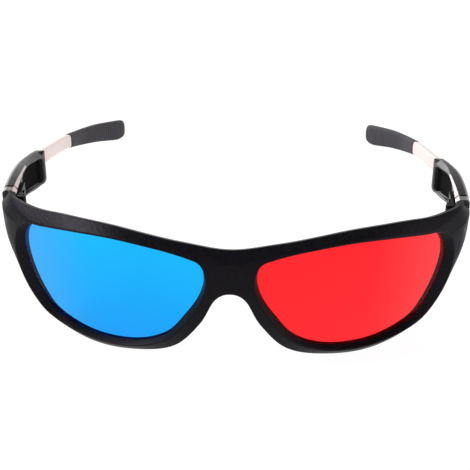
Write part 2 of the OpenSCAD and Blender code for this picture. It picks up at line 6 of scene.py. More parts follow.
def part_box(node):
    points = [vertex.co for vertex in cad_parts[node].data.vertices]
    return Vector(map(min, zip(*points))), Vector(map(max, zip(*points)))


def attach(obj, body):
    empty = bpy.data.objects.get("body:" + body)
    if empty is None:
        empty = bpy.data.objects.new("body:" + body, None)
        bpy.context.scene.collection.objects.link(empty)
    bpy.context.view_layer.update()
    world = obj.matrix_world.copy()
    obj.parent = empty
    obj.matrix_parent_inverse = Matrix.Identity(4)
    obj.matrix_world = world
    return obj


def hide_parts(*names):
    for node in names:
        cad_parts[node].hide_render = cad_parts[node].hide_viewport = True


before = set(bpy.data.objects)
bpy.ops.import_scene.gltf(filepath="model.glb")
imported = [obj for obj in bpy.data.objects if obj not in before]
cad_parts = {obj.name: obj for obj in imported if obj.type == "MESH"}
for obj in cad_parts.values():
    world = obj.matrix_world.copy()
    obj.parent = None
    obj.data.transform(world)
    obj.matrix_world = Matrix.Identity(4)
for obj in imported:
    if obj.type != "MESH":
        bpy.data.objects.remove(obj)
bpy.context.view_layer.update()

MM = 0.001

# Sizes of the front, as in the part's source and in millimetres like all lengths up to the camera's place
FRONT_W = 146
WRAP_R = 98
CORNER_R = 11
BOW_R = 150
RIM_DEPTH = 4.8
RIM_W = 2.5
SIDE_W = 7.1
SLOPE_W = 3.4
EDGE_D = 1.1
BROW_Z = 41.3
BROW_SLOPE = 2.6
CREASE_Z = 38.6
NOTCH_Z = 27.4
NOSE_W = 5
NOSE_DEPTH = 8.5
END_T = 4.4
END_TOP = 39.8
END_CREASE = 36.1
END_BOTTOM = 31.9
END_RUN = 0.2

# Sizes of the lenses and of the grooves that hold them
LENS_W = 64.2
LENS_H = 38.2
LENS_APART = 16
LENS_LOW = 3.3
LENS_T = 1.5
LENS_RECESS = 1.8
LENS_HOLD = 0.9
LENS_PLAY = 0.1
BACK_LIP = 0.6
LIP_T = 0.5

# Sizes of the hinges and rivets
HINGE_Z = 34.6
KNUCKLES = 3
KNUCKLE_R = 1.5
KNUCKLE_H = 1.7
KNUCKLE_GAP = 0.12
PIN_PLAY = 0.05
LEAF_T = 0.8
LEAF_LEN = 10
LEAF_PLAY = 0.1
RIVET_R = 0.6
RIVET_HEAD_R = 1.1
RIVET_Z = 32.4
RIVET_DEPTH = 2.6
BUTT_GAP = 0.25

# Sizes of the temples
TEMPLE_LEN = 110.6
TEMPLE_SWEEP = 21.3
TEMPLE_TOP = 39.2
TEMPLE_DROP = 31.8
SHOULDER_LEN = 31.6
SHOULDER_FRONT_H = 7.4
SHOULDER_BACK_H = 12.4
SHOULDER_BACK_T = 3.7
SHOULDER_CORNER = 2.4
HOLLOW_D = 0.9
GROOVE_D = 0.3
BAR_H = 5.2
BAR_T = 2.4
BAR_DIP = 0.4
SOCKET_LEN = 3
TIP_LEN = 46.6
TIP_PROUD = 0.2
TIP_T = 3.8
TIP_BACK_H = 8.9
TIP_ROUND = 0.9
TIP_CORNER = 2.5
TIP_CORNER_LEN = 7
TIP_PLAY = 0.08
TANG_T = 1.6
TANG_H = 3
TANG_LEN = 28

# Plan of the front: a wide arc, a tighter corner at each end and a short straight run
HALF_W = FRONT_W / 2
CORNER_X = HALF_W - CORNER_R
WRAP_A = math.asin(CORNER_X / (WRAP_R - CORNER_R))
CORNER_Y = WRAP_R - (WRAP_R - CORNER_R) * math.cos(WRAP_A)
WRAP_U = WRAP_R * WRAP_A
CORNER_U = WRAP_U + CORNER_R * (math.pi / 2 - WRAP_A)
END_U = CORNER_U + END_RUN
END_Y = CORNER_Y + END_RUN
LENS_NOSE_U = LENS_APART / 2
LENS_SIDE_U = LENS_NOSE_U + LENS_W
END_W = END_U - LENS_SIDE_U
HINGE_Y = END_Y + BUTT_GAP / 2
HINGE_HALF = KNUCKLES / 2 * KNUCKLE_H + KNUCKLE_GAP
HINGE_LOW = HINGE_Z - HINGE_HALF
HINGE_HIGH = HINGE_Z + HINGE_HALF

# The front bows back above and below the middle of the lens, and less towards its ends
BOW_MID_Z = LENS_LOW + LENS_H / 2
BOW_FULL_SHARE = 0.82
BOW_FULL_U = LENS_NOSE_U + LENS_W * BOW_FULL_SHARE

# Where the drawing lies in the frame, from the hinge screw that both hold
screw_low, screw_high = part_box("hinge_screw_left")
SHIFT_Y = (screw_low[1] + screw_high[1]) / 2 / MM - HINGE_Y
SHIFT_Z = screw_low[2] / MM - HINGE_LOW


def seated(p):
    """A point of the drawing, in millimetres, as a point of the frame."""
    return (p[0] * MM, (p[1] + SHIFT_Y) * MM, (p[2] + SHIFT_Z) * MM)


def heading(u):
    """Turn of the plan at the length u from the middle."""
    if u <= WRAP_U:
        return u / WRAP_R
    return min(math.pi / 2, WRAP_A + (u - WRAP_U) / CORNER_R)


def place(u, z, d):
    """A point of the front at length u along the plan, height z and depth d."""
    a = heading(u)
    bow = (z - BOW_MID_Z) ** 2 / (2 * BOW_R) * min(1, (END_U - u) / (END_U - BOW_FULL_U))
    if u <= WRAP_U:
        x, y = WRAP_R * math.sin(a), WRAP_R * (1 - math.cos(a))
    else:
        x = CORNER_X + CORNER_R * math.sin(a)
        y = CORNER_Y - CORNER_R * math.cos(a) + max(0, u - CORNER_U)
    b = d + bow
    return (x - math.sin(a) * b, y + math.cos(a) * b, z)


def spline(p0, p1, p2, p3, t):
    """A point between p1 and p2, on a smooth curve through four points."""
    return tuple(
        (2 * b + (c - a) * t + (2 * a - 5 * b + 4 * c - d) * t * t + (3 * b - a - 3 * c + d) * t ** 3) / 2
        for a, b, c, d in zip(p0, p1, p2, p3)
    )


def along(p, q, n):
    """Points from p to q in n equal steps."""
    return [tuple(a + (b - a) * i / n for a, b in zip(p, q)) for i in range(n + 1)]


# Edge of a lens, in percent of its width and height: nose, brow, outer side, bottom and back to the nose
LENS_SHAPE = [
    (0, 72.5), (2.2, 86.6), (7.3, 94), (22, 98.7), (44, 100), (66, 95.8), (84.4, 88.8),
    (94.3, 83.5), (98.3, 76), (100, 67.3), (100, 56.8), (96.8, 40.6), (90, 21.7), (81, 7.6),
    (60, 0), (36.3, 4), (19, 17.5), (8.4, 39.8), (2.4, 56.8),
]
ROWS = len(LENS_SHAPE)


def lens_row(k):
    """Row k of the lens's edge, as length along the plan and height."""
    p = LENS_SHAPE[k % ROWS]
    return (LENS_NOSE_U + LENS_W * p[0] / 100, LENS_LOW + LENS_H * p[1] / 100)


# How far the lip under the brow lies from the row of the source, to give the brow its photographed height
LIP_SHIFT = {
    1: (-0.4, -0.1), 2: (0, -0.75), 3: (0, -0.7), 4: (0, -0.55), 5: (0, -0.45), 6: (0, -0.2),
}


def lip_row(k):
    (u, z), (du, dz) = lens_row(k), LIP_SHIFT.get(k % ROWS, (0, 0))
    return (u + du, z + dz)


def lens_at(s):
    """The lip of the rim at row s, which may lie between two rows."""
    k = math.floor(s)
    return spline(lip_row(k - 1), lip_row(k), lip_row(k + 1), lip_row(k + 2), s - k)


NORMAL_STEP = 0.05


def lens_normal(s):
    """Direction away from the lens at row s."""
    a, b = lens_at(s - NORMAL_STEP), lens_at(s + NORMAL_STEP)
    d = (b[0] - a[0], b[1] - a[1])
    n = math.hypot(*d)
    return (-d[1] / n, d[0] / n)


def off(k, unit, share):
    """A point beside row k of the lens, at shares of a width along and up."""
    p = lens_row(k)
    return (p[0] + unit * share[0], p[1] + unit * share[1])


# How far the crease and the brow lie from the source's, to give the bridge its photographed form
CREASE_LOWER, BROW_LOWER, BROW_FULLER = 0.7, 0.35, 0.45

# Outer edge of the front beside each row of the lens, straight at the middle and down the end
CREASE_ROW, BROW_ROW, END_ROW, SIDE_ROW = 1, 2, 7, 9
OUTER = [
    (0, NOTCH_Z), (0, CREASE_Z - CREASE_LOWER), (0, BROW_Z - BROW_LOWER),
    off(3, RIM_W, (-2.8, 0.4 + BROW_FULLER / RIM_W)),
    off(4, RIM_W, (0, 1)), off(5, RIM_W, (1.4, 1.18)), off(6, RIM_W, (3.1, 1.28)),
    (END_U, END_TOP), (END_U, END_CREASE), (END_U, END_BOTTOM),
    (lens_row(10)[0] + END_W * 0.7, lens_row(10)[1] + SIDE_W * 0.33),
    off(11, SIDE_W, (1, 0.23)), off(12, SIDE_W, (0.9, 0)), off(13, SIDE_W, (0.53, -0.32)),
    off(14, LENS_LOW, (0, -1)), off(15, LENS_LOW, (-0.6, -0.88)), off(16, LENS_LOW, (-0.9, -1.1)),
    off(17, NOSE_W, (-0.86, -0.5)), off(18, NOSE_W, (-1, 0)),
]


def mirrored(p):
    return (-p[0], p[1])


def beyond(p, q):
    """The point as far past p as q lies before it."""
    return (2 * p[0] - q[0], 2 * p[1] - q[1])


def outer_at(s):
    """The outer edge at row s, which may lie between two rows."""
    k = math.floor(s) % ROWS
    t = s - math.floor(s)
    a, b = OUTER[k], OUTER[(k + 1) % ROWS]
    if k < BROW_ROW or END_ROW <= k < SIDE_ROW:
        return (a[0] + (b[0] - a[0]) * t, a[1] + (b[1] - a[1]) * t)
    before = OUTER[k - 1]
    after = OUTER[(k + 2) % ROWS]
    if k == BROW_ROW:
        before = mirrored(OUTER[k + 1])
    if k == SIDE_ROW:
        before = beyond(OUTER[k], OUTER[k + 1])
    if k == END_ROW - 1:
        after = beyond(OUTER[k + 1], OUTER[k])
    if k == ROWS - 1:
        after = mirrored(OUTER[k])
    return spline(before, a, b, after, t)


# Form of the rim at each row: slope's width, outer edge's depth, back edge's step along and up, back's depth
NOSE_MORE = NOSE_DEPTH - RIM_DEPTH
BROW = (SLOPE_W * 0.1, BROW_SLOPE, 0, -1, RIM_DEPTH)
RIM_FORM = [
    (SLOPE_W * 0.24, EDGE_D * 0.4, 0, 0.8, RIM_DEPTH + NOSE_MORE * 0.3),
    (SLOPE_W * 0.15, 0, 0, 0, RIM_DEPTH + NOSE_MORE * 0.2),
    BROW, BROW, BROW, BROW,
    (SLOPE_W * 0.15, BROW_SLOPE, 0, -1, RIM_DEPTH),
    (SLOPE_W * 0.35, BROW_SLOPE, 0, -0.8, END_T),
    (SLOPE_W * 0.6, 0, 0, 0, END_T),
    (SLOPE_W * 0.75, EDGE_D * 0.2, 0, 0.6, END_T),
    (SLOPE_W * 0.95, EDGE_D * 0.4, -0.6, 0.3, RIM_DEPTH),
    (SLOPE_W, EDGE_D * 0.7, -0.6, 0.2, RIM_DEPTH),
    (SLOPE_W * 0.8, EDGE_D * 0.9, -0.5, 0.3, RIM_DEPTH),
    (SLOPE_W * 0.45, EDGE_D, -0.2, 0.1, RIM_DEPTH),
    (SLOPE_W * 0.25, EDGE_D, 0, 0.1, RIM_DEPTH),
    (SLOPE_W * 0.25, EDGE_D, 0.1, 0.1, RIM_DEPTH),
    (SLOPE_W * 0.25, EDGE_D * 0.9, 0.6, 0.6, RIM_DEPTH + NOSE_MORE * 0.5),
    (SLOPE_W * 0.3, EDGE_D * 0.7, 1.8, 0.8, NOSE_DEPTH),
    (SLOPE_W * 0.25, EDGE_D * 0.5, 1.8, 0.4, NOSE_DEPTH),
]


def form_slope(k, c):
    """Slope of column c at row k that keeps the curve between its rows."""
    a = RIM_FORM[k % ROWS][c] - RIM_FORM[(k - 1) % ROWS][c]
    b = RIM_FORM[(k + 1) % ROWS][c] - RIM_FORM[k % ROWS][c]
    return 0 if a * b <= 0 else 2 * a * b / (a + b)


def form_at(s):
    """Form of the rim at row s, which may lie between two rows."""
    k = math.floor(s) % ROWS
    t = s - math.floor(s)
    a, b = RIM_FORM[k], RIM_FORM[(k + 1) % ROWS]
    if k in (CREASE_ROW, END_ROW):
        return [x + (y - x) * t for x, y in zip(a, b)]
    return [
        a[c] * (1 + 2 * t) * (1 - t) ** 2 + form_slope(k, c) * t * (1 - t) ** 2
        + b[c] * t * t * (3 - 2 * t) - form_slope(k + 1, c) * t * t * (1 - t)
        for c in range(len(BROW))
    ]


RIDGE_W = 0.5
SPAN = 8
GROOVE_BACK = LENS_RECESS + LENS_T + 2 * LENS_PLAY


def rim_outline(s):
    """Section of the rim at row s, each point as length along the plan, height and depth."""
    lip, n, out = lens_at(s), lens_normal(s), outer_at(s)
    slope_w, edge_d, back_u, back_z, back_d = form_at(s)

    def step(d):
        return (lip[0] + n[0] * d, lip[1] + n[1] * d)

    ridge, crease = step(slope_w), step(slope_w + RIDGE_W)
    inner, seat = step(LENS_HOLD - BACK_LIP), step(LENS_HOLD)
    back = (out[0] + back_u, out[1] + back_z)
    return (
        [(*lip, LENS_RECESS), (*ridge, 0)]
        + along((*crease, 0), (*out, edge_d), SPAN)
        + along((*back, back_d), (*inner, GROOVE_BACK + LIP_T), SPAN)
        + [(*inner, GROOVE_BACK), (*seat, GROOVE_BACK), (*seat, LENS_RECESS)]
    )


def new_object(name, verts, faces):
    mesh = bpy.data.meshes.new(name)
    mesh.from_pydata(verts, [], faces)
    mesh.update()
    obj = bpy.data.objects.new(name, mesh)
    bpy.context.scene.collection.objects.link(obj)
    return obj


def apply_modifiers(obj):
    """Keeps what the modifiers make as the object's own mesh."""
    bpy.context.view_layer.update()
    graph = bpy.context.evaluated_depsgraph_get()
    mesh = bpy.data.meshes.new_from_object(obj.evaluated_get(graph))
    old = obj.data
    obj.modifiers.clear()
    obj.data = mesh
    bpy.data.meshes.remove(old)


def smooth(obj, degrees):
    """Smooth shading, apart from the edges that turn by more than some degrees."""
    obj.data.polygons.foreach_set("use_smooth", [True] * len(obj.data.polygons))
    obj.data.set_sharp_from_angle(angle=math.radians(degrees))


HOLE_SEGMENTS, SMALL_HOLE_SEGMENTS = 64, 32


def tube(name, centre, axis, start, length, r, segments=HOLE_SEGMENTS):
    """Closed cylinder along an axis, used to cut holes."""
    axis = Vector(axis).normalized()
    side = axis.orthogonal().normalized()
    up = axis.cross(side)
    verts = []
    for h in (start, start + length):
        for i in range(segments):
            a = 2 * math.pi * i / segments
            p = Vector(centre) + axis * h + side * r * math.cos(a) + up * r * math.sin(a)
            verts.append(seated(p))
    faces = [(i, (i + 1) % segments, segments + (i + 1) % segments, segments + i) for i in range(segments)]
    faces += [tuple(range(segments))[::-1], tuple(range(segments, 2 * segments))]
    return new_object(name, verts, faces)


def cut(obj, cutters):
    """Takes the cutters out of the object and deletes them."""
    for c in cutters:
        m = obj.modifiers.new("cut", "BOOLEAN")
        m.operation, m.solver, m.object = "DIFFERENCE", "EXACT", c
    apply_modifiers(obj)
    for c in cutters:
        mesh = c.data
        bpy.data.objects.remove(c)
        bpy.data.meshes.remove(mesh)


def spindle(name, rings, side, flip=False):
    """Closed body from rings of points, with a middle point at each end."""
    n = len(rings[0])
    mids = [tuple((r[0][k] + r[n // 2][k]) / 2 for k in range(3)) for r in (rings[0], rings[-1])]
    pts = [mids[0]] + [p for r in rings for p in r] + [mids[1]]
    verts = [seated((side * p[0], p[1], p[2])) for p in pts]
    last = len(pts) - 1
    faces = [(0, 1 + i, 1 + (i + 1) % n) for i in range(n)]
    for r in range(len(rings) - 1):
        for i in range(n):
            a, b = 1 + r * n + i, 1 + r * n + (i + 1) % n
            faces.append((a, a + n, b + n, b))
    faces += [(last, last - n + (i + 1) % n, last - n + i) for i in range(n)]
    if (side > 0) != flip:
        faces = [f[::-1] for f in faces]
    return new_object(name, verts, faces)


# Front: lines along the rim's outline and how much each is rounded, as a share of the widest rounding
FRONT_STEPS = 12
STATIONS = ROWS * FRONT_STEPS
LINE_LIP, LINE_RIDGE, LINE_CREASE = 0, 1, 2
LINE_OUT = LINE_CREASE + SPAN
LINE_BACK = LINE_OUT + 1
LINE_INNER = LINE_BACK + SPAN
LINE_ROUND = {
    LINE_RIDGE: 0.25, LINE_CREASE: 0.3, LINE_OUT: 0.75, LINE_BACK: 0.9, LINE_INNER: 0.6, LINE_LIP: 0.12,
}
CREASE_ROUND, END_ROUND = 0.35, 0.4
ROUNDING, ROUND_SEGMENTS = 0.7, 3
FRONT_SHARP = 38

# Seat of the end leaf, and the rivet's hole and sunk head
END_SEAT_R = CORNER_R - END_T
LEAF_MARGIN = 0.3
RIVET_MARGIN, RIVET_PLACE = 0.2, 0.75
HEAD_SUNK = 0.5
CUT_OVER = 1


def front_points(outlines):
    """Points of the front and their numbers by side, station and line. Both sides share the middle ones."""
    verts, index, at_middle = [], {}, {}
    for side in (1, -1):
        for i, line in enumerate(outlines):
            for j, p in enumerate(line):
                if p[0] == 0 and (i, j) in at_middle:
                    index[side, i, j] = at_middle[i, j]
                    continue
                x, y, z = place(*p)
                index[side, i, j] = len(verts)
                if p[0] == 0:
                    at_middle[i, j] = len(verts)
                verts.append(seated((side * x, y, max(z, -SHIFT_Z))))
    return verts, index


def in_middle(i):
    """Whether both sides meet at a station, so that the front has no outer wall there."""
    return i < BROW_ROW * FRONT_STEPS


def front_faces(index, lines):
    faces = []
    for side in (1, -1):
        for i in range(STATIONS):
            ahead = (i + 1) % STATIONS
            for j in range(lines):
                if in_middle(i) and j == LINE_OUT:
                    continue
                corners = ((i, j), (ahead, j), (ahead, j + 1), (i, j + 1))
                ids = [index[side, a, b % lines] for a, b in corners]
                faces.append(tuple(ids if side == -1 else ids[::-1]))
    return faces


def front_rounding(index):
    """How much each edge of the front is rounded, by its two points."""
    weights = {}
    for side in (1, -1):
        for i in range(STATIONS):
            ahead = (i + 1) % STATIONS
            at_end = END_ROW * FRONT_STEPS <= i < SIDE_ROW * FRONT_STEPS
            for j, share in LINE_ROUND.items():
                if j in (LINE_OUT, LINE_BACK):
                    share *= 0 if in_middle(i) else END_ROUND if at_end else 1
                if share:
                    weights[frozenset((index[side, i, j], index[side, ahead, j]))] = share
        for row in (CREASE_ROW, END_ROW + 1):
            i = row * FRONT_STEPS
            for j in range(LINE_CREASE, LINE_OUT):
                weights[frozenset((index[side, i, j], index[side, i, j + 1]))] = CREASE_ROUND
        for row in (END_ROW, SIDE_ROW):
            i = row * FRONT_STEPS
            weights[frozenset((index[side, i, LINE_OUT], index[side, i, LINE_BACK]))] = CREASE_ROUND
    return weights


def round_edges(obj, weights):
    layer = obj.data.attributes.new("bevel_weight_edge", "FLOAT", "EDGE")
    for e in obj.data.edges:
        layer.data[e.index].value = weights.get(frozenset(e.vertices), 0)
    bevel = obj.modifiers.new("bevel", "BEVEL")
    bevel.limit_method = "WEIGHT"
    bevel.width = ROUNDING * MM
    bevel.segments = ROUND_SEGMENTS
    bevel.use_clamp_overlap = True
    apply_modifiers(obj)


def rivet_angle():
    """Turn of the end rivet about the middle of the corner, between the lens and the hinge's knuckles."""
    leaf_r = END_SEAT_R - LEAF_PLAY - LEAF_T
    front = KNUCKLE_R - END_RUN - BUTT_GAP / 2
    near_lens = heading(LENS_SIDE_U + LENS_HOLD + RIVET_HEAD_R + RIVET_MARGIN)
    near_hinge = math.pi / 2 - math.asin((front + RIVET_HEAD_R + RIVET_MARGIN) / leaf_r)
    return near_lens + (near_hinge - near_lens) * RIVET_PLACE - math.pi / 2


def front_cutters():
    cutters = []
    leaf_low = min(RIVET_Z - RIVET_HEAD_R - LEAF_MARGIN, HINGE_LOW)
    seat_h = HINGE_HIGH - leaf_low + 2 * LEAF_PLAY
    hole_r, head_r = RIVET_R + PIN_PLAY, RIVET_HEAD_R + PIN_PLAY
    a = rivet_angle()
    for side in (1, -1):
        across = (side * math.cos(a), math.sin(a), 0)
        corner = (side * CORNER_X, CORNER_Y, 0)
        at_rivet = (side * CORNER_X, CORNER_Y, RIVET_Z)
        cutters.append(tube("cut", corner, (0, 0, 1), leaf_low - LEAF_PLAY, seat_h, END_SEAT_R))
        cutters.append(tube("cut", at_rivet, across, END_SEAT_R - CUT_OVER, END_T + 2 * CUT_OVER, hole_r))
        cutters.append(tube("cut", at_rivet, across, CORNER_R - HEAD_SUNK, HEAD_SUNK + CUT_OVER, head_r))
    return cutters


def make_front():
    outlines = [rim_outline(i / FRONT_STEPS) for i in range(STATIONS)]
    verts, index = front_points(outlines)
    obj = new_object("front_shell", verts, front_faces(index, len(outlines[0])))
    round_edges(obj, front_rounding(index))
    cut(obj, front_cutters())
    smooth(obj, FRONT_SHARP)
    return obj


# Lenses: rings on both faces as shares of the edge, a chamfer and a border behind the edge in painted shade
LENS_STEPS = 12
LENS_N = ROWS * LENS_STEPS
LENS_RINGS = (0.93, 0.85, 0.7, 0.5, 0.3, 0.12)
LENS_REACH = LENS_HOLD - LENS_PLAY
LENS_CHAMFER = 0.15
LENS_SHADE_BORDER = 0.9
LENS_MID_SHARE = 0.52
LENS_MID = (LENS_NOSE_U + LENS_W * LENS_MID_SHARE, LENS_LOW + LENS_H * LENS_MID_SHARE)
LENS_FRONT = LENS_RECESS + LENS_PLAY
LENS_BACK = LENS_FRONT + LENS_T
SHADE_ZONE, SHADE_BANDS = 1, 4
LENS_SHARP = 30


def lens_ring(d, scale=1, inset=0):
    ring = []
    mid_u, mid_z = LENS_MID
    reach = LENS_REACH - inset
    for i in range(LENS_N):
        s = i / LENS_STEPS
        p, n = lens_at(s), lens_normal(s)
        u, z = p[0] + n[0] * reach, p[1] + n[1] * reach
        ring.append(place(mid_u + (u - mid_u) * scale, mid_z + (z - mid_z) * scale, d))
    return ring


def make_lens(name, side):
    rings = [lens_ring(LENS_FRONT, share) for share in LENS_RINGS[::-1]]
    rings += [lens_ring(LENS_FRONT, inset=LENS_CHAMFER)]
    rings += [lens_ring(LENS_FRONT + LENS_CHAMFER), lens_ring(LENS_BACK - LENS_CHAMFER)]
    rings += [lens_ring(LENS_BACK, inset=LENS_CHAMFER), lens_ring(LENS_BACK, inset=LENS_SHADE_BORDER)]
    rings += [lens_ring(LENS_BACK, share) for share in LENS_RINGS]
    obj = spindle(name, rings, side)
    # The border bands behind the edge take a painted shade, which painted light makes lighter at the top
    first = (len(LENS_RINGS) + 1) * LENS_N
    for f in obj.data.polygons[first:first + SHADE_BANDS * LENS_N]:
        f.material_index = SHADE_ZONE
    for v, d in ((obj.data.vertices[0], LENS_FRONT), (obj.data.vertices[-1], LENS_BACK)):
        x, y, z = place(*LENS_MID, d)
        v.co = seated((side * x, y, z))
    smooth(obj, LENS_SHARP)
    return obj


# Temples: path as shares of length, sweep and fall
PATH = [
    (0, 0, 0), (0.09, 0.005, 0), (0.17, 0.042, 0.013), (0.24, 0.136, 0.045), (0.285, 0.197, 0.083),
    (0.35, 0.254, 0.147), (0.475, 0.31, 0.301), (0.575, 0.385, 0.423), (0.81, 0.648, 0.7285),
    (0.94, 0.887, 0.9105), (1, 1, 1),
]
LAST = len(PATH) - 1
TEMPLE_Y = END_Y + BUTT_GAP
SEAT_GAP = 0.1
TIP_W = TEMPLE_LEN - TIP_LEN
SECTION_N = 48
BAR_POWER, TIP_POWER = 0.55, 0.7
SOCKET_STEPS, TANG_STEPS = 3, 20
TEMPLE_SHARP, TIP_SHARP = 35, 40


def path_slope(k, c):
    """Slope of column c of the path at its row k."""
    a, b = PATH[max(k - 1, 0)], PATH[min(k + 1, LAST)]
    return (b[c] - a[c]) / (b[0] - a[0])


def path_at(w):
    """Shares of length, sweep and fall at the distance w behind the hinge."""
    q = w / TEMPLE_LEN
    k = max(i for i in range(LAST) if PATH[i][0] <= q or i == 0)
    a, b = PATH[k], PATH[k + 1]
    g = b[0] - a[0]
    t = (q - a[0]) / g
    return [
        a[c] * (1 + 2 * t) * (1 - t) ** 2 + path_slope(k, c) * g * t * (1 - t) ** 2
        + b[c] * t * t * (3 - 2 * t) - path_slope(k + 1, c) * g * t * t * (1 - t)
        for c in range(len(a))
    ]


def round_in(w, end, r):
    """How far an edge rounded by r has come in at w, before its end."""
    return 0 if w <= end - r else r - math.sqrt(max(0, r * r - (w - end + r) ** 2))


def ease(t):
    """Smooth step from 0 to 1."""
    t = min(1, max(0, t))
    return t * t * (3 - 2 * t)


def span(a, b, n):
    return [a + (b - a) * i / n for i in range(n + 1)]


def corner_places(end, r, angles):
    """Places of rings along a rounded corner of the size r."""
    return [end - r * (1 - math.sin(math.radians(a))) for a in angles]


def rounded(v, power):
    return math.copysign(abs(v) ** power, v)


def oval(t, h, n=SECTION_N, power=BAR_POWER):
    """Rounded box about its middle."""
    turns = [2 * math.pi * i / n for i in range(n)]
    return [(rounded(math.cos(a), power) * t / 2, rounded(math.sin(a), power) * h / 2) for a in turns]


def hung(w, dip, h, section):
    """Section of a temple at the distance w and h high, hung under its top line."""
    p = path_at(w)
    mid_x, y = HALF_W - END_T / 2 - TEMPLE_SWEEP * p[1], TEMPLE_Y + w
    mid_z = TEMPLE_TOP - TEMPLE_DROP * p[2] - dip - h / 2
    return [(mid_x + x, y, mid_z + z) for x, z in section]


def tang_ring(w, grow, n=SECTION_N):
    """Section of the bar's hidden tang, or of its socket where it is grown by some play."""
    h = TANG_H + 2 * grow
    return hung(w, BAR_DIP + (BAR_H - h) / 2, h, oval(TANG_T + 2 * grow, h, n))


# Shoulder: a band along its top, a bevel on the band's inner edge and a dish under it
SHOULDER_FRONT_ROUND, SHOULDER_BACK_ROUND = 0.3, 0.5
RISE_SHARE = 0.8
GROOVE_AT, GROOVE_W = 3, 0.5
GROOVE_FROM, GROOVE_TO = GROOVE_AT - GROOVE_W, GROOVE_AT + GROOVE_W
BAND_ROUND, OUTER_ROUND, INNER_ROUND = 1.2, 0.9, 0.7
BEVEL_FRONT, BEVEL_MID, BEVEL_BACK, BEVEL_LEAST = 1.15, 0.45, 1.4, 0.2
BEVEL_MID_AT, BEVEL_BACK_FROM, BEVEL_BACK_OVER, BEVEL_FADE = 15, 17, 9, 3
HOLLOW_PAST_LEAF, HOLLOW_BEFORE_END, HOLLOW_MORE = 0.4, 1.5, 0.35
HOLLOW_FROM, HOLLOW_TO = LEAF_LEN + HOLLOW_PAST_LEAF, SHOULDER_LEN - HOLLOW_BEFORE_END
HOLLOW_DEEP = HOLLOW_D + HOLLOW_MORE
HOLLOW_RAMP, HOLLOW_WALL, HOLLOW_CORNER = 0.9, 0.7, 2.4
SOCKET_FLOOR = SHOULDER_LEN - SOCKET_LEN - SEAT_GAP
HOLLOW_OVER_SOCKET, SOCKET_MARGIN, SOCKET_RAMP = 0.45, 1.8, 1.4
LEAF_RIVET_PLACE = 0.65

# How many points the parts of its section have, with the outer side in two halves
SIDE_N, BAND_N, TOP_N, BEVEL_N, FACE_N = 6, 10, 8, 6, 44
INNER_N, OUTER_N, UNDER_N = 6, 8, 8
SHOULDER_N = 2 * SIDE_N + BAND_N + TOP_N + BEVEL_N + FACE_N + INNER_N + OUTER_N + UNDER_N

# Its rings: places on the rounded front edge, stretches from, to and with how many steps, turns of the corner
EDGE_PLACES = (0, 0.04, 0.1, 0.18, SHOULDER_FRONT_ROUND)
CUFF_FROM, CUFF_TO, BEHIND_GROOVE, DISH_END = 0.6, 2.4, 3.7, 3
STRETCHES = (
    (CUFF_FROM, CUFF_TO, 6), (GROOVE_FROM, GROOVE_TO, 10), (BEHIND_GROOVE, HOLLOW_FROM, 14),
    (HOLLOW_FROM, HOLLOW_FROM + DISH_END, 15), (HOLLOW_FROM + DISH_END, HOLLOW_TO - DISH_END, 20),
    (HOLLOW_TO - DISH_END, HOLLOW_TO, 15),
)
SHOULDER_ANGLES = range(0, 91, 6)

# Its finishes, among them painted highlight and shade, and the limits that tell them apart
PLAIN, SHADED_DISH, HIGHLIGHT_STRIP, GREY_HIGHLIGHT_CUFF = 0, 1, 2, 3
HIGHLIGHT_STRIP_TO = 17
FACES_IN, ON_BEVEL, BEVEL_MARGIN, IN_DISH = 0.5, 0.4, 0.2, 0.6


def shoulder_size(w):
    """Inset, thickness, height and bevel of the shoulder at the distance w."""
    groove = GROOVE_D * max(0, 1 - (abs(w - GROOVE_AT) / GROOVE_W) ** 2)
    inset = groove + round_in(w, SHOULDER_LEN, SHOULDER_BACK_ROUND) + round_in(-w, 0, SHOULDER_FRONT_ROUND)
    rise = ease(w / (RISE_SHARE * SHOULDER_LEN))
    h = SHOULDER_FRONT_H + (SHOULDER_BACK_H - SHOULDER_FRONT_H) * rise
    h -= round_in(w, SHOULDER_LEN, SHOULDER_CORNER)
    t = END_T + (SHOULDER_BACK_T - END_T) * w / SHOULDER_LEN
    bevel = BEVEL_FRONT + (BEVEL_MID - BEVEL_FRONT) * ease(w / BEVEL_MID_AT)
    bevel += (BEVEL_BACK - BEVEL_MID) * ease((w - BEVEL_BACK_FROM) / BEVEL_BACK_OVER)
    bevel *= ease((SHOULDER_LEN - w) / BEVEL_FADE)
    return inset, t - 2 * inset, h - 2 * inset, max(BEVEL_LEAST, bevel)


def dish_share(w, z, h, bevel):
    """0 on the plain shoulder to 1 on the floor of the dish in its inner face."""
    side = min(z + h / 2 - HOLLOW_WALL, h / 2 - bevel - HOLLOW_WALL / 2 - z)
    end = min(w - HOLLOW_FROM, HOLLOW_TO - w)
    r = HOLLOW_CORNER
    return ease((r - math.hypot(max(0, r - side), max(0, r - end))) / HOLLOW_RAMP)


def dish_depth(w):
    """Depth of the dish, which is shallower over the bar's socket."""
    over_socket = ease((w - SOCKET_FLOOR + SOCKET_MARGIN) / SOCKET_RAMP)
    return HOLLOW_DEEP + (HOLLOW_OVER_SOCKET - HOLLOW_DEEP) * over_socket


def arc(x, z, r, start, n):
    """A quarter turn about x, z from the angle start, without its last point."""
    turns = [math.radians(start + 90 * i / n) for i in range(n)]
    return [(x + r * math.cos(a), z + r * math.sin(a)) for a in turns]


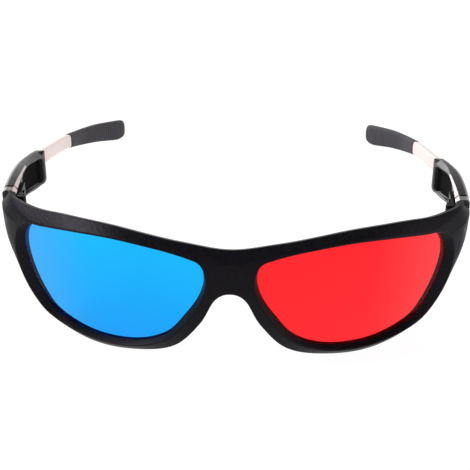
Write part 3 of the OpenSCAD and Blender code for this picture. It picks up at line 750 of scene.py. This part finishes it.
def shoulder_ring(w):
    inset, t, h, bevel = shoulder_size(w)
    a, b = t / 2, h / 2
    section = along((a, 0), (a, b - BAND_ROUND), SIDE_N)[:-1]
    section += arc(a - BAND_ROUND, b - BAND_ROUND, BAND_ROUND, 0, BAND_N)
    section += along((a - BAND_ROUND, b), (bevel - a, b), TOP_N)[:-1]
    section += along((bevel - a, b), (-a, b - bevel), BEVEL_N)[:-1]
    for x, z in along((-a, b - bevel), (-a, INNER_ROUND - b), FACE_N)[:-1]:
        section.append((x + dish_depth(w) * dish_share(w, z, h, bevel), z))
    section += arc(INNER_ROUND - a, INNER_ROUND - b, INNER_ROUND, 180, INNER_N)
    section += along((INNER_ROUND - a, -b), (a - OUTER_ROUND, -b), UNDER_N)[:-1]
    section += arc(a - OUTER_ROUND, OUTER_ROUND - b, OUTER_ROUND, 270, OUTER_N)
    section += along((a, OUTER_ROUND - b), (a, 0), SIDE_N)[:-1]
    return hung(w, inset, h, section)


def shoulder_zone(face, side):
    """Which of the shoulder's finishes a face has, painted highlight and shade among them."""
    w = face.center.y / MM - SHIFT_Y - TEMPLE_Y
    inset, _, h, bevel = shoulder_size(w)
    top = TEMPLE_TOP - TEMPLE_DROP * path_at(w)[2]
    z = face.center.z / MM - SHIFT_Z - top + inset + h / 2
    inward, up = -side * face.normal.x, face.normal.z
    # The dish is matte and a little darker than the shoulder, partly painted shade in the hollow
    if inward > FACES_IN and dish_share(w, z, h, bevel) > IN_DISH:
        return SHADED_DISH
    # The pale strip on the bevel is a painted highlight
    on_bevel = min(inward, up) > ON_BEVEL and z > h / 2 - bevel - BEVEL_MARGIN
    if on_bevel and SHOULDER_FRONT_ROUND < w < HIGHLIGHT_STRIP_TO:
        return HIGHLIGHT_STRIP
    # The grey cuff is partly a painted highlight on the lit end by the hinge
    if inward < FACES_IN and SHOULDER_FRONT_ROUND < w < GROOVE_FROM:
        return GREY_HIGHLIGHT_CUFF
    return PLAIN


def make_shoulder(name, side):
    places = [*EDGE_PLACES]
    for start, stop, steps in STRETCHES:
        places += span(start, stop, steps)
    places += corner_places(SHOULDER_LEN, SHOULDER_CORNER, SHOULDER_ANGLES)
    places = sorted(set(round(w, 2) for w in places), reverse=True)
    rings = [tang_ring(w, TIP_PLAY, SHOULDER_N) for w in span(SOCKET_FLOOR, SHOULDER_LEN, SOCKET_STEPS)]
    obj = spindle(name, rings + [shoulder_ring(w) for w in places], side)
    for f in obj.data.polygons:
        f.material_index = shoulder_zone(f, side)
    leaf_x = HALF_W - END_T - LEAF_PLAY - LEAF_T
    at = (side * leaf_x, HINGE_Y + LEAF_LEN * LEAF_RIVET_PLACE, HINGE_Z)
    deep = LEAF_T + LEAF_PLAY + RIVET_DEPTH + PIN_PLAY
    cut(obj, [tube("cut", at, (side, 0, 0), 0, deep, RIVET_R + PIN_PLAY, SMALL_HOLE_SEGMENTS)])
    smooth(obj, TEMPLE_SHARP)
    return obj


# Bar, with rounded ends and a tang at each
BAR_ROUND = 0.25
BAR_ANGLES = range(0, 91, 15)
BAR_START, BAR_STOP = SHOULDER_LEN + SEAT_GAP, TIP_W - SEAT_GAP
BAR_PLAIN, BAR_STEPS = 0.6, 60


def bar_ring(w):
    inset = round_in(w, BAR_STOP, BAR_ROUND) + round_in(-w, -BAR_START, BAR_ROUND)
    h = BAR_H - 2 * inset
    return hung(w, BAR_DIP + inset, h, oval(BAR_T - 2 * inset, h))


def make_bar(name, side):
    ends = [BAR_ROUND * (1 - math.cos(math.radians(a))) for a in BAR_ANGLES]
    places = [BAR_START + e for e in ends]
    places += span(BAR_START + BAR_PLAIN, BAR_STOP - BAR_PLAIN, BAR_STEPS)
    places += [BAR_STOP - e for e in ends[::-1]]
    rings = [tang_ring(w, 0) for w in span(SHOULDER_LEN - SOCKET_LEN, BAR_START, SOCKET_STEPS)]
    rings += [bar_ring(w) for w in places]
    rings += [tang_ring(w, 0) for w in span(BAR_STOP, TIP_W + TANG_LEN, TANG_STEPS)]
    obj = spindle(name, rings, side, flip=True)
    smooth(obj, TEMPLE_SHARP)
    return obj


# Tip, with fine ribs across its faces that fade out towards its edges
RIB_PITCH, RIB_DEEP = 1.3, 0.2
RIB_FROM, RIB_FADE_IN, RIB_TO, RIB_FADE_OUT = 4, 14, 3.2, 1.5
RIB_EDGE, RIB_EDGE_RAMP = 0.2, 0.15
MOUTH_ROUND, TIP_TOP_SHARE = 0.25, 0.3
MOUTH_PLACES = (0, 0.04, 0.12, MOUTH_ROUND)
TIP_PLAIN, TIP_STEPS = 0.5, 240
TIP_ANGLES = range(2, 91, 2)
TIP_FRONT_H, TIP_FRONT_T = BAR_H + 2 * TIP_PROUD, BAR_T + 2 * TIP_PROUD


def rib_depth(w):
    """How deep the ribs have come in at the distance w."""
    from_first = w - TIP_W - RIB_FROM
    wave = 0.5 - 0.5 * math.cos(2 * math.pi * from_first / RIB_PITCH)
    return RIB_DEEP * wave * ease(from_first / RIB_FADE_IN) * ease((TEMPLE_LEN - RIB_TO - w) / RIB_FADE_OUT)


def tip_ring(w):
    g = (w - TIP_W) / TIP_LEN
    end, mouth = round_in(w, TEMPLE_LEN, TIP_ROUND), round_in(TIP_W - w, 0, MOUTH_ROUND)
    inset, top = end + mouth, end * TIP_TOP_SHARE + mouth
    corner = round_in(w, TEMPLE_LEN, TIP_CORNER_LEN) * TIP_CORNER / TIP_CORNER_LEN
    h = TIP_FRONT_H + (TIP_BACK_H - TIP_FRONT_H) * g - corner - inset - top
    t = TIP_FRONT_T + (TIP_T - TIP_FRONT_T) * g - 2 * inset
    rib = rib_depth(w)
    section = [
        (x - math.copysign(rib * ease((abs(x) / t - RIB_EDGE) / RIB_EDGE_RAMP), x), z)
        for x, z in oval(t, h, power=TIP_POWER)
    ]
    return hung(w, BAR_DIP - TIP_PROUD + top, h, section)


def make_tip(name, side):
    places = [TIP_W + e for e in MOUTH_PLACES]
    places += span(TIP_W + TIP_PLAIN, TEMPLE_LEN - TIP_CORNER_LEN, TIP_STEPS)
    places += corner_places(TEMPLE_LEN, TIP_CORNER_LEN, TIP_ANGLES)
    rings = [tang_ring(w, TIP_PLAY) for w in span(TIP_W + TANG_LEN + SEAT_GAP, TIP_W, TANG_STEPS)]
    rings += [tip_ring(w) for w in places]
    obj = spindle(name, rings, side, flip=True)
    smooth(obj, TIP_SHARP)
    return obj


# Materials: where the painted reflection makes the lenses paler, and the levels and detail of the noise
REFLECTION_FROM, REFLECTION_TO = 40, 66
MOTTLE_LOW, MOTTLE_HIGH = 0.3, 0.7
MOTTLE_DETAIL, GRAIN_DETAIL = 4, 2


def set_inputs(node, values):
    """Sets inputs by their names, with _ for a space."""
    for key, value in values.items():
        node.inputs[key.replace("_", " ")].default_value = value


def add_node(tree, kind, **values):
    node = tree.nodes.new("ShaderNode" + kind)
    set_inputs(node, values)
    return node


def add_noise(tree, coord, size, detail):
    noise = add_node(tree, "TexNoise", Scale=1 / (size * MM), Detail=detail)
    tree.links.new(coord.outputs["Object"], noise.inputs["Vector"])
    return noise


def mottled(tree, noise, base, amount):
    """Colour in blotches, up to a share darker and lighter than base."""
    ramp = add_node(tree, "ValToRGB")
    low, high = ramp.color_ramp.elements
    low.position, high.position = MOTTLE_LOW, MOTTLE_HIGH
    low.color = (*[c * (1 - amount) for c in base], 1)
    high.color = (*[min(1, c * (1 + amount)) for c in base], 1)
    tree.links.new(noise.outputs["Fac"], ramp.inputs["Fac"])
    return ramp.outputs["Color"]


def painted_light_ramp(tree, coord, base, painted_light_tones, painted_light_from):
    """Painted light and shade: colour that goes from base to the first tone upwards and to the second, if
    there is one, outwards.
    """
    links = tree.links
    split = add_node(tree, "SeparateXYZ")
    low_z, high_z = LENS_LOW + LENS_H * painted_light_from, LENS_LOW + LENS_H
    rise = add_node(tree, "MapRange", From_Min=low_z * MM, From_Max=high_z * MM)
    ramp = add_node(tree, "ValToRGB")
    low, high = ramp.color_ramp.elements
    low.color, high.color = (*base, 1), (*painted_light_tones[0], 1)
    links.new(coord.outputs["Object"], split.inputs["Vector"])
    links.new(split.outputs["Z"], rise.inputs["Value"])
    links.new(rise.outputs["Result"], ramp.inputs["Fac"])
    if len(painted_light_tones) == 1:
        return ramp.outputs["Color"]
    out = add_node(tree, "Math")
    out.operation = "ABSOLUTE"
    reach = add_node(tree, "MapRange", From_Min=REFLECTION_FROM * MM, From_Max=REFLECTION_TO * MM)
    reach.interpolation_type = "SMOOTHSTEP"
    mix = add_node(tree, "MixRGB", Color2=(*painted_light_tones[1], 1))
    links.new(split.outputs["X"], out.inputs[0])
    links.new(out.outputs[0], reach.inputs["Value"])
    links.new(reach.outputs["Result"], mix.inputs["Fac"])
    links.new(ramp.outputs["Color"], mix.inputs["Color1"])
    return mix.outputs["Color"]


def material(name, base, roughness, grain, mottle, painted_light_tones=None, painted_light_from=0, **sockets):
    """Principled material with a fine grain in its relief and slow changes of tone and gloss.

    Grain holds the size, height and strength of the relief, mottle the size of the blotches, the share by
    which their colour changes and how much their roughness does. Where tones of painted light and shade are
    given, they change the colour instead: base goes over to the first towards the top of the lenses, from a
    given share of their height on, and to the second, if there is one, towards the outer ends.
    """
    m = bpy.data.materials.new(name)
    m.use_nodes = True
    tree, links = m.node_tree, m.node_tree.links
    shader = tree.nodes["Principled BSDF"]
    set_inputs(shader, {"Base_Color": (*base, 1), "Roughness": roughness, **sockets})
    coord = add_node(tree, "TexCoord")
    blotch_size, amount, gloss = mottle
    blotches = add_noise(tree, coord, blotch_size, MOTTLE_DETAIL)
    if painted_light_tones:
        colour = painted_light_ramp(tree, coord, base, painted_light_tones, painted_light_from)
    else:
        colour = mottled(tree, blotches, base, amount)
    links.new(colour, shader.inputs["Base Color"])
    spread = add_node(tree, "MapRange", To_Min=roughness - gloss, To_Max=roughness + gloss)
    links.new(blotches.outputs["Fac"], spread.inputs["Value"])
    links.new(spread.outputs["Result"], shader.inputs["Roughness"])
    grain_size, height, strength = grain
    grains = add_noise(tree, coord, grain_size, GRAIN_DETAIL)
    bump = add_node(tree, "Bump", Strength=strength, Distance=height * MM)
    links.new(grains.outputs["Fac"], bump.inputs["Height"])
    links.new(bump.outputs["Normal"], shader.inputs["Normal"])
    return m


black = material(
    "frame_black", (0.004, 0.0036, 0.005), 0.4, (0.8, 0.09, 1.0), (1.1, 0.4, 0.07),
    Specular_IOR_Level=0.073, Specular_Tint=(0.95, 0.85, 1.0, 1), Sheen_Weight=0.08, Sheen_Roughness=0.4,
)
shoulder_black = material(
    "shoulder_black", (0.005, 0.005, 0.006), 0.26, (0.4, 0.02, 0.3), (5, 0.25, 0.04), Specular_IOR_Level=0.3,
)
# Dish: matte and a little darker than the shoulder, partly painted shade in the hollow
dish_shaded = material(
    "dish_shaded", (0.003, 0.003, 0.0035), 0.7, (0.3, 0.05, 0.6), (3, 0.3, 0.05), Specular_IOR_Level=0.03,
)
# Pale strip: a painted highlight on the shoulder's bevel
strip_highlight = material(
    "strip_highlight", (0.55, 0.47, 0.45), 0.3, (0.3, 0.01, 0.2), (4, 0.05, 0.05), Coat_Weight=0.3,
)
# Grey cuff: partly a painted highlight on the shoulder's end by the hinge
cuff_grey_highlight = material("cuff_grey_highlight", (0.16, 0.15, 0.152), 0.3, (0.3, 0.01, 0.3), (3, 0.1, 0.05))
pearl = material("bar_pearl", (0.75, 0.62, 0.58), 0.3, (0.3, 0.01, 0.2), (4, 0.04, 0.05), Coat_Weight=0.5)
rubber = material(
    "tip_rubber", (0.034, 0.031, 0.037), 0.7, (0.25, 0.04, 0.5), (5, 0.2, 0.05), Specular_IOR_Level=0.3,
)
hinge = material(
    "hinge_steel", (0.012, 0.012, 0.013), 0.45, (0.2, 0.01, 0.3), (1.5, 0.25, 0.08), Metallic=1.0,
)
fastener = material(
    "fastener_steel", (0.02, 0.02, 0.022), 0.4, (0.15, 0.01, 0.3), (1, 0.25, 0.08), Metallic=1.0,
)

# Lenses: clear tints made paler outwards by painted reflection, and borders of painted shade, lighter at the
# top
TINT = {"Transmission_Weight": 1.0, "IOR": 1.16}
TINT_ROUGHNESS, TINT_GRAIN, TINT_MOTTLE = 0.03, (9, 0.01, 0.1), (30, 0.04, 0.01)
# Tints, each with its tones of painted reflection towards the top and towards the outer ends
BLUE, BLUE_REFLECTION_TONES = (0.007, 0.345, 0.93), ((0.007, 0.475, 0.96), (0.045, 0.4, 0.9))
RED, RED_REFLECTION_TONES = (0.95, 0.021, 0.027), ((0.95, 0.018, 0.023), (0.95, 0.05, 0.06))
EDGE_ROUGHNESS, EDGE_GRAIN, EDGE_MOTTLE, EDGE_LIT_FROM = 0.6, (0.3, 0.03, 0.5), (3, 0.1, 0.05), 0.5
# Borders: painted shade of the rim's wall and ledge, going over to painted light at their top
BLUE_EDGE_SHADE, BLUE_EDGE_LIT = (0.0, 0.012, 0.1), ((0.0, 0.4, 1.0),)
RED_EDGE_SHADE, RED_EDGE_LIT = (0.12, 0.0, 0.003), ((0.8, 0.0, 0.01),)


def lens_tint(name, base, painted_light_tones):
    return material(name, base, TINT_ROUGHNESS, TINT_GRAIN, TINT_MOTTLE, painted_light_tones, **TINT)


def lens_edge_shade(name, base, painted_light_tones):
    return material(name, base, EDGE_ROUGHNESS, EDGE_GRAIN, EDGE_MOTTLE, painted_light_tones, EDGE_LIT_FROM)


blue_tint = lens_tint("lens_blue_tint", BLUE, BLUE_REFLECTION_TONES)
red_tint = lens_tint("lens_red_tint", RED, RED_REFLECTION_TONES)
blue_edge_shade = lens_edge_shade("lens_blue_edge_shade", BLUE_EDGE_SHADE, BLUE_EDGE_LIT)
red_edge_shade = lens_edge_shade("lens_red_edge_shade", RED_EDGE_SHADE, RED_EDGE_LIT)


def finish_piece(obj, mats, body, node):
    """Gives a piece its materials by zone and its body, and hides the node that it stands for."""
    zones = [f.material_index for f in obj.data.polygons]
    obj.data.materials.clear()
    for m in mats:
        obj.data.materials.append(m)
    obj.data.polygons.foreach_set("material_index", zones)
    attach(obj, body)
    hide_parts(node)


finish_piece(make_front(), [black], "front", "front_frame")
finish_piece(make_lens("lens_blue_pane", -1), [blue_tint, blue_edge_shade], "front", "lens_blue")
finish_piece(make_lens("lens_red_pane", 1), [red_tint, red_edge_shade], "front", "lens_red")
for label, side in (("left", 1), ("right", -1)):
    arm = "arm_" + label
    shoulder = make_shoulder("shoulder_" + label, side)
    shoulder_materials = [shoulder_black, dish_shaded, strip_highlight, cuff_grey_highlight]
    finish_piece(shoulder, shoulder_materials, arm, "temple_shoulder_" + label)
    finish_piece(make_bar("bar_" + label, side), [pearl], arm, "temple_bar_" + label)
    finish_piece(make_tip("tip_" + label, side), [rubber], arm, "temple_tip_" + label)

# The hinges' leaves, screws and rivets show the solids of the frame
for name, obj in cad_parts.items():
    if "leaf" in name or "screw" in name or "rivet" in name:
        obj.data.materials.clear()
        obj.data.materials.append(hinge if "leaf" in name else fastener)

# Camera at the photograph's view, with its focal length in the photograph's pixels and angles in degrees
PHOTO_PX, FOCAL_PX = 470, 1300
SENSOR_W = 36
CAMERA_AT = (12.41, -310.10, 246.25)
CAMERA_TILT, CAMERA_TURN, CAMERA_ROLL = 32.5, -2.0304, 0.1753
CLIP_START_M = 0.01
scene = bpy.context.scene


def make_camera():
    data = bpy.data.cameras.new("camera")
    data.sensor_width = SENSOR_W
    data.lens = SENSOR_W * FOCAL_PX / PHOTO_PX
    data.clip_start = CLIP_START_M
    camera = bpy.data.objects.new("camera", data)
    scene.collection.objects.link(camera)
    tilt, turn, roll = (math.radians(a) for a in (CAMERA_TILT, CAMERA_TURN, CAMERA_ROLL))
    ahead = Vector((math.sin(turn) * math.cos(tilt), math.cos(turn) * math.cos(tilt), -math.sin(tilt)))
    level = Vector((math.cos(turn), -math.sin(turn), 0))
    above = level.cross(ahead)
    right = level * math.cos(roll) + above * math.sin(roll)
    up = above * math.cos(roll) - level * math.sin(roll)
    x, y, z = CAMERA_AT
    where = Vector((x, y + SHIFT_Y, z)) * MM
    rows = [(right[k], up[k], -ahead[k], where[k]) for k in range(3)]
    camera.matrix_world = Matrix(rows + [(0, 0, 0, 1)])
    scene.camera = camera


make_camera()

# Lights, with places and sizes in metres and power in watts
LIGHT_AIM = (0, 0, 0.02)
WORLD_LIGHT = 0.08


def area_light(name, where, size, power):
    data = bpy.data.lights.new(name, "AREA")
    data.shape = "RECTANGLE"
    data.size, data.size_y = size
    data.energy = power
    lamp = bpy.data.objects.new(name, data)
    lamp.location = where
    lamp.rotation_euler = (Vector(LIGHT_AIM) - Vector(where)).to_track_quat("-Z", "Y").to_euler()
    scene.collection.objects.link(lamp)


area_light("key_light", (-0.68, -0.10, 0.52), (0.25, 0.25), 6.8)
area_light("top_light", (0.05, 0.45, 0.75), (0.9, 0.6), 2)
area_light("back_light_left", (-0.60, 0.80, 0.25), (0.7, 0.5), 4.4)
area_light("back_light_right", (0.60, 0.80, 0.25), (0.7, 0.5), 1.2)
area_light("fill_light", (0.9, -0.45, 0.25), (0.4, 0.3), 6.5)
area_light("brow_light", (0, -0.6, 0.8), (0.5, 0.4), 0.4)

world = bpy.data.worlds.new("studio")
scene.world = world
world.use_nodes = True
set_inputs(world.node_tree.nodes["Background"], {"Color": (1, 1, 1, 1), "Strength": WORLD_LIGHT})

# Floor, in metres: a round white floor that runs up into a wall
FLOOR_R, COVE_R, WALL_H = 3, 0.5, 2
FLOOR_N = 64
COVE_ANGLES = range(0, 91, 15)
FLOOR_GLOW, FLOOR_SHADED, FLOOR_WHITE = 0.95, 0.12, 0.8


def grey(level):
    return (level, level, level, 1)


def floor_material():
    """White where it is seen, also mirrored or through a lens, and plain where it only throws light back.

    What is seen is a glow and a little plain colour, which keeps the object's shadow.
    """
    m = bpy.data.materials.new("floor_white")
    m.use_nodes = True
    tree, links = m.node_tree, m.node_tree.links
    tree.nodes.clear()
    path = add_node(tree, "LightPath")
    glow = add_node(tree, "Emission", Strength=FLOOR_GLOW)
    plain = add_node(tree, "BsdfDiffuse", Color=grey(FLOOR_WHITE))
    shaded = add_node(tree, "BsdfDiffuse", Color=grey(FLOOR_SHADED))
    seen, looked_at = add_node(tree, "Math"), add_node(tree, "Math")
    seen.operation = looked_at.operation = "MAXIMUM"
    lit, mix = add_node(tree, "AddShader"), add_node(tree, "MixShader")
    out = add_node(tree, "OutputMaterial")
    links.new(path.outputs["Is Camera Ray"], seen.inputs[0])
    links.new(path.outputs["Is Glossy Ray"], seen.inputs[1])
    links.new(seen.outputs[0], looked_at.inputs[0])
    links.new(path.outputs["Is Transmission Ray"], looked_at.inputs[1])
    links.new(glow.outputs[0], lit.inputs[0])
    links.new(shaded.outputs[0], lit.inputs[1])
    links.new(looked_at.outputs[0], mix.inputs["Fac"])
    links.new(plain.outputs[0], mix.inputs[1])
    links.new(lit.outputs[0], mix.inputs[2])
    links.new(mix.outputs[0], out.inputs["Surface"])
    return m


def make_floor():
    turns = [math.radians(a) for a in COVE_ANGLES]
    rings = [(FLOOR_R + COVE_R * math.sin(a), COVE_R * (1 - math.cos(a))) for a in turns]
    rings.append((FLOOR_R + COVE_R, WALL_H))
    n = FLOOR_N
    round_about = [2 * math.pi * i / n for i in range(n)]
    verts = [(r * math.cos(a), r * math.sin(a), z) for r, z in rings for a in round_about]
    faces = [tuple(range(n))]
    for k in range(0, n * (len(rings) - 1), n):
        faces += [(k + i, k + n + i, k + n + (i + 1) % n, k + (i + 1) % n) for i in range(n)]
    obj = new_object("floor", verts, faces)
    obj.data.materials.append(floor_material())


make_floor()
scene.view_settings.view_transform = "Standard"
